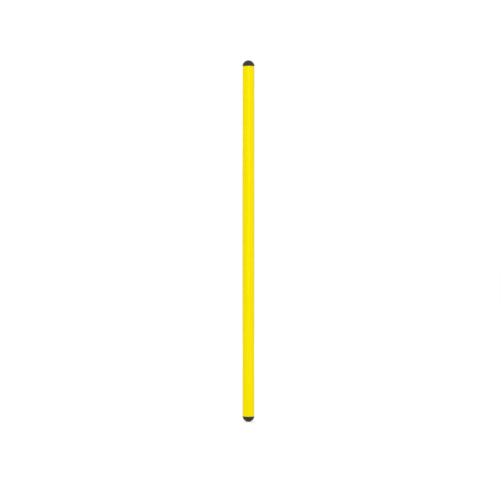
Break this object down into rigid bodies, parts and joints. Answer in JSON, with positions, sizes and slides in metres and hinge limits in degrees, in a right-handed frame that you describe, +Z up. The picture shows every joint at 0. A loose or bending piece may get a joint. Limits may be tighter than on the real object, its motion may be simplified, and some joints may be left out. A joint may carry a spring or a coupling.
{
  "type": "roller extension pole",
  "caption": "Straight round telescopic pole for a paint roller, closed: yellow outer tube, sliding inner tube with a twist lock inside, screw tip under a domed cap, domed foot",
  "frame": {"origin": "under the middle of the bottom dome, at its lowest point", "axes": "+Z up along the pole towards the threaded tip; +X and +Y across it, with a cage bar of the lock on +X"},
  "size_m": [0.032, 0.032, 0.9577],
  "materials": {
    "yellow_fibreglass": "pultruded glass fibre in lemon-yellow resin, satin gloss, fine lengthwise draw lines",
    "charcoal_cap": "moulded soft vinyl, charcoal, low sheen",
    "pad_foam": "closed-cell rubber foam",
    "black_acetal": "moulded acetal, satin black",
    "nitrile_rubber": "moulded nitrile rubber",
    "anodised_aluminium": "drawn tube, clear anodised, fine lengthwise lines",
    "die_cast_metal": "die cast, tumbled",
    "spring_steel": "rolled spring steel, oiled dark",
    "zinc_plated_steel": "zinc plated, bright",
    "blue_nylon": "moulded nylon",
    "grey_nylon": "moulded glass-filled nylon",
    "natural_acetal": "moulded acetal, natural white",
    "red_shoe_plastic": "moulded thermoplastic polyurethane"
  },
  "bodies": {
    "outer_pole": {"outer_tube": "yellow_fibreglass", "bottom_cap": "charcoal_cap", "landing_pad": "pad_foam", "mouth_bush": "black_acetal", "mouth_ring": "nitrile_rubber"},
    "lock_cage": {"lock_cage": "grey_nylon", "cage_end_plate": "grey_nylon", "cage_screws": "zinc_plated_steel", "upper_drag_ring": "nitrile_rubber", "lower_drag_ring": "nitrile_rubber", "upper_shoe_ring": "nitrile_rubber", "lower_shoe_ring": "nitrile_rubber"},
    "inner_pole": {"inner_tube": "anodised_aluminium", "threaded_tip": "die_cast_metal", "tip_pin": "spring_steel", "lock_plug": "black_acetal", "lock_plug_pin": "spring_steel", "slide_ring": "black_acetal", "lock_bolt": "zinc_plated_steel", "lock_nut": "zinc_plated_steel", "nut_insert": "blue_nylon", "upper_washer": "zinc_plated_steel", "lower_washer": "zinc_plated_steel"},
    "cone_nut": {"cone_nut": "natural_acetal"},
    "shoe_1": {"lock_shoe_1": "red_shoe_plastic"},
    "shoe_2": {"lock_shoe_2": "red_shoe_plastic"},
    "shoe_3": {"lock_shoe_3": "red_shoe_plastic"},
    "tip_cap": {"tip_cap": "charcoal_cap"}
  },
  "joints": [
    {"name": "extension", "type": "slide", "parent": "outer_pole", "child": "lock_cage", "axis": [0, 0, 1], "range_m": [0, 0.7683]},
    {"name": "lock_twist", "type": "hinge", "parent": "lock_cage", "child": "inner_pole", "pos_m": [0, 0, 0.0988], "axis": [0, 0, -1], "range_deg": [0, 360]},
    {"name": "nut_travel", "type": "slide", "parent": "lock_cage", "child": "cone_nut", "axis": [0, 0, 1], "range_m": [0, 0.00125]},
    {"name": "shoe_1_travel", "type": "slide", "parent": "lock_cage", "child": "shoe_1", "axis": [0.5, 0.866, 0], "range_m": [0, 0.00040615], "deforming": ["upper_shoe_ring", "lower_shoe_ring"]},
    {"name": "shoe_2_travel", "type": "slide", "parent": "lock_cage", "child": "shoe_2", "axis": [-1, 0, 0], "range_m": [0, 0.00040615]},
    {"name": "shoe_3_travel", "type": "slide", "parent": "lock_cage", "child": "shoe_3", "axis": [0.5, -0.866, 0], "range_m": [0, 0.00040615]},
    {"name": "cap_pull", "type": "slide", "parent": "inner_pole", "child": "tip_cap", "axis": [0, 0, 1], "range_m": [0, 0.06]}
  ],
  "couplings": [
    {"joint": "nut_travel", "follows": "lock_twist", "m_per_rad": 0.00019894},
    {"joint": "shoe_1_travel", "follows": "lock_twist", "m_per_rad": 0.000064641},
    {"joint": "shoe_2_travel", "follows": "lock_twist", "m_per_rad": 0.000064641},
    {"joint": "shoe_3_travel", "follows": "lock_twist", "m_per_rad": 0.000064641}
  ]
}
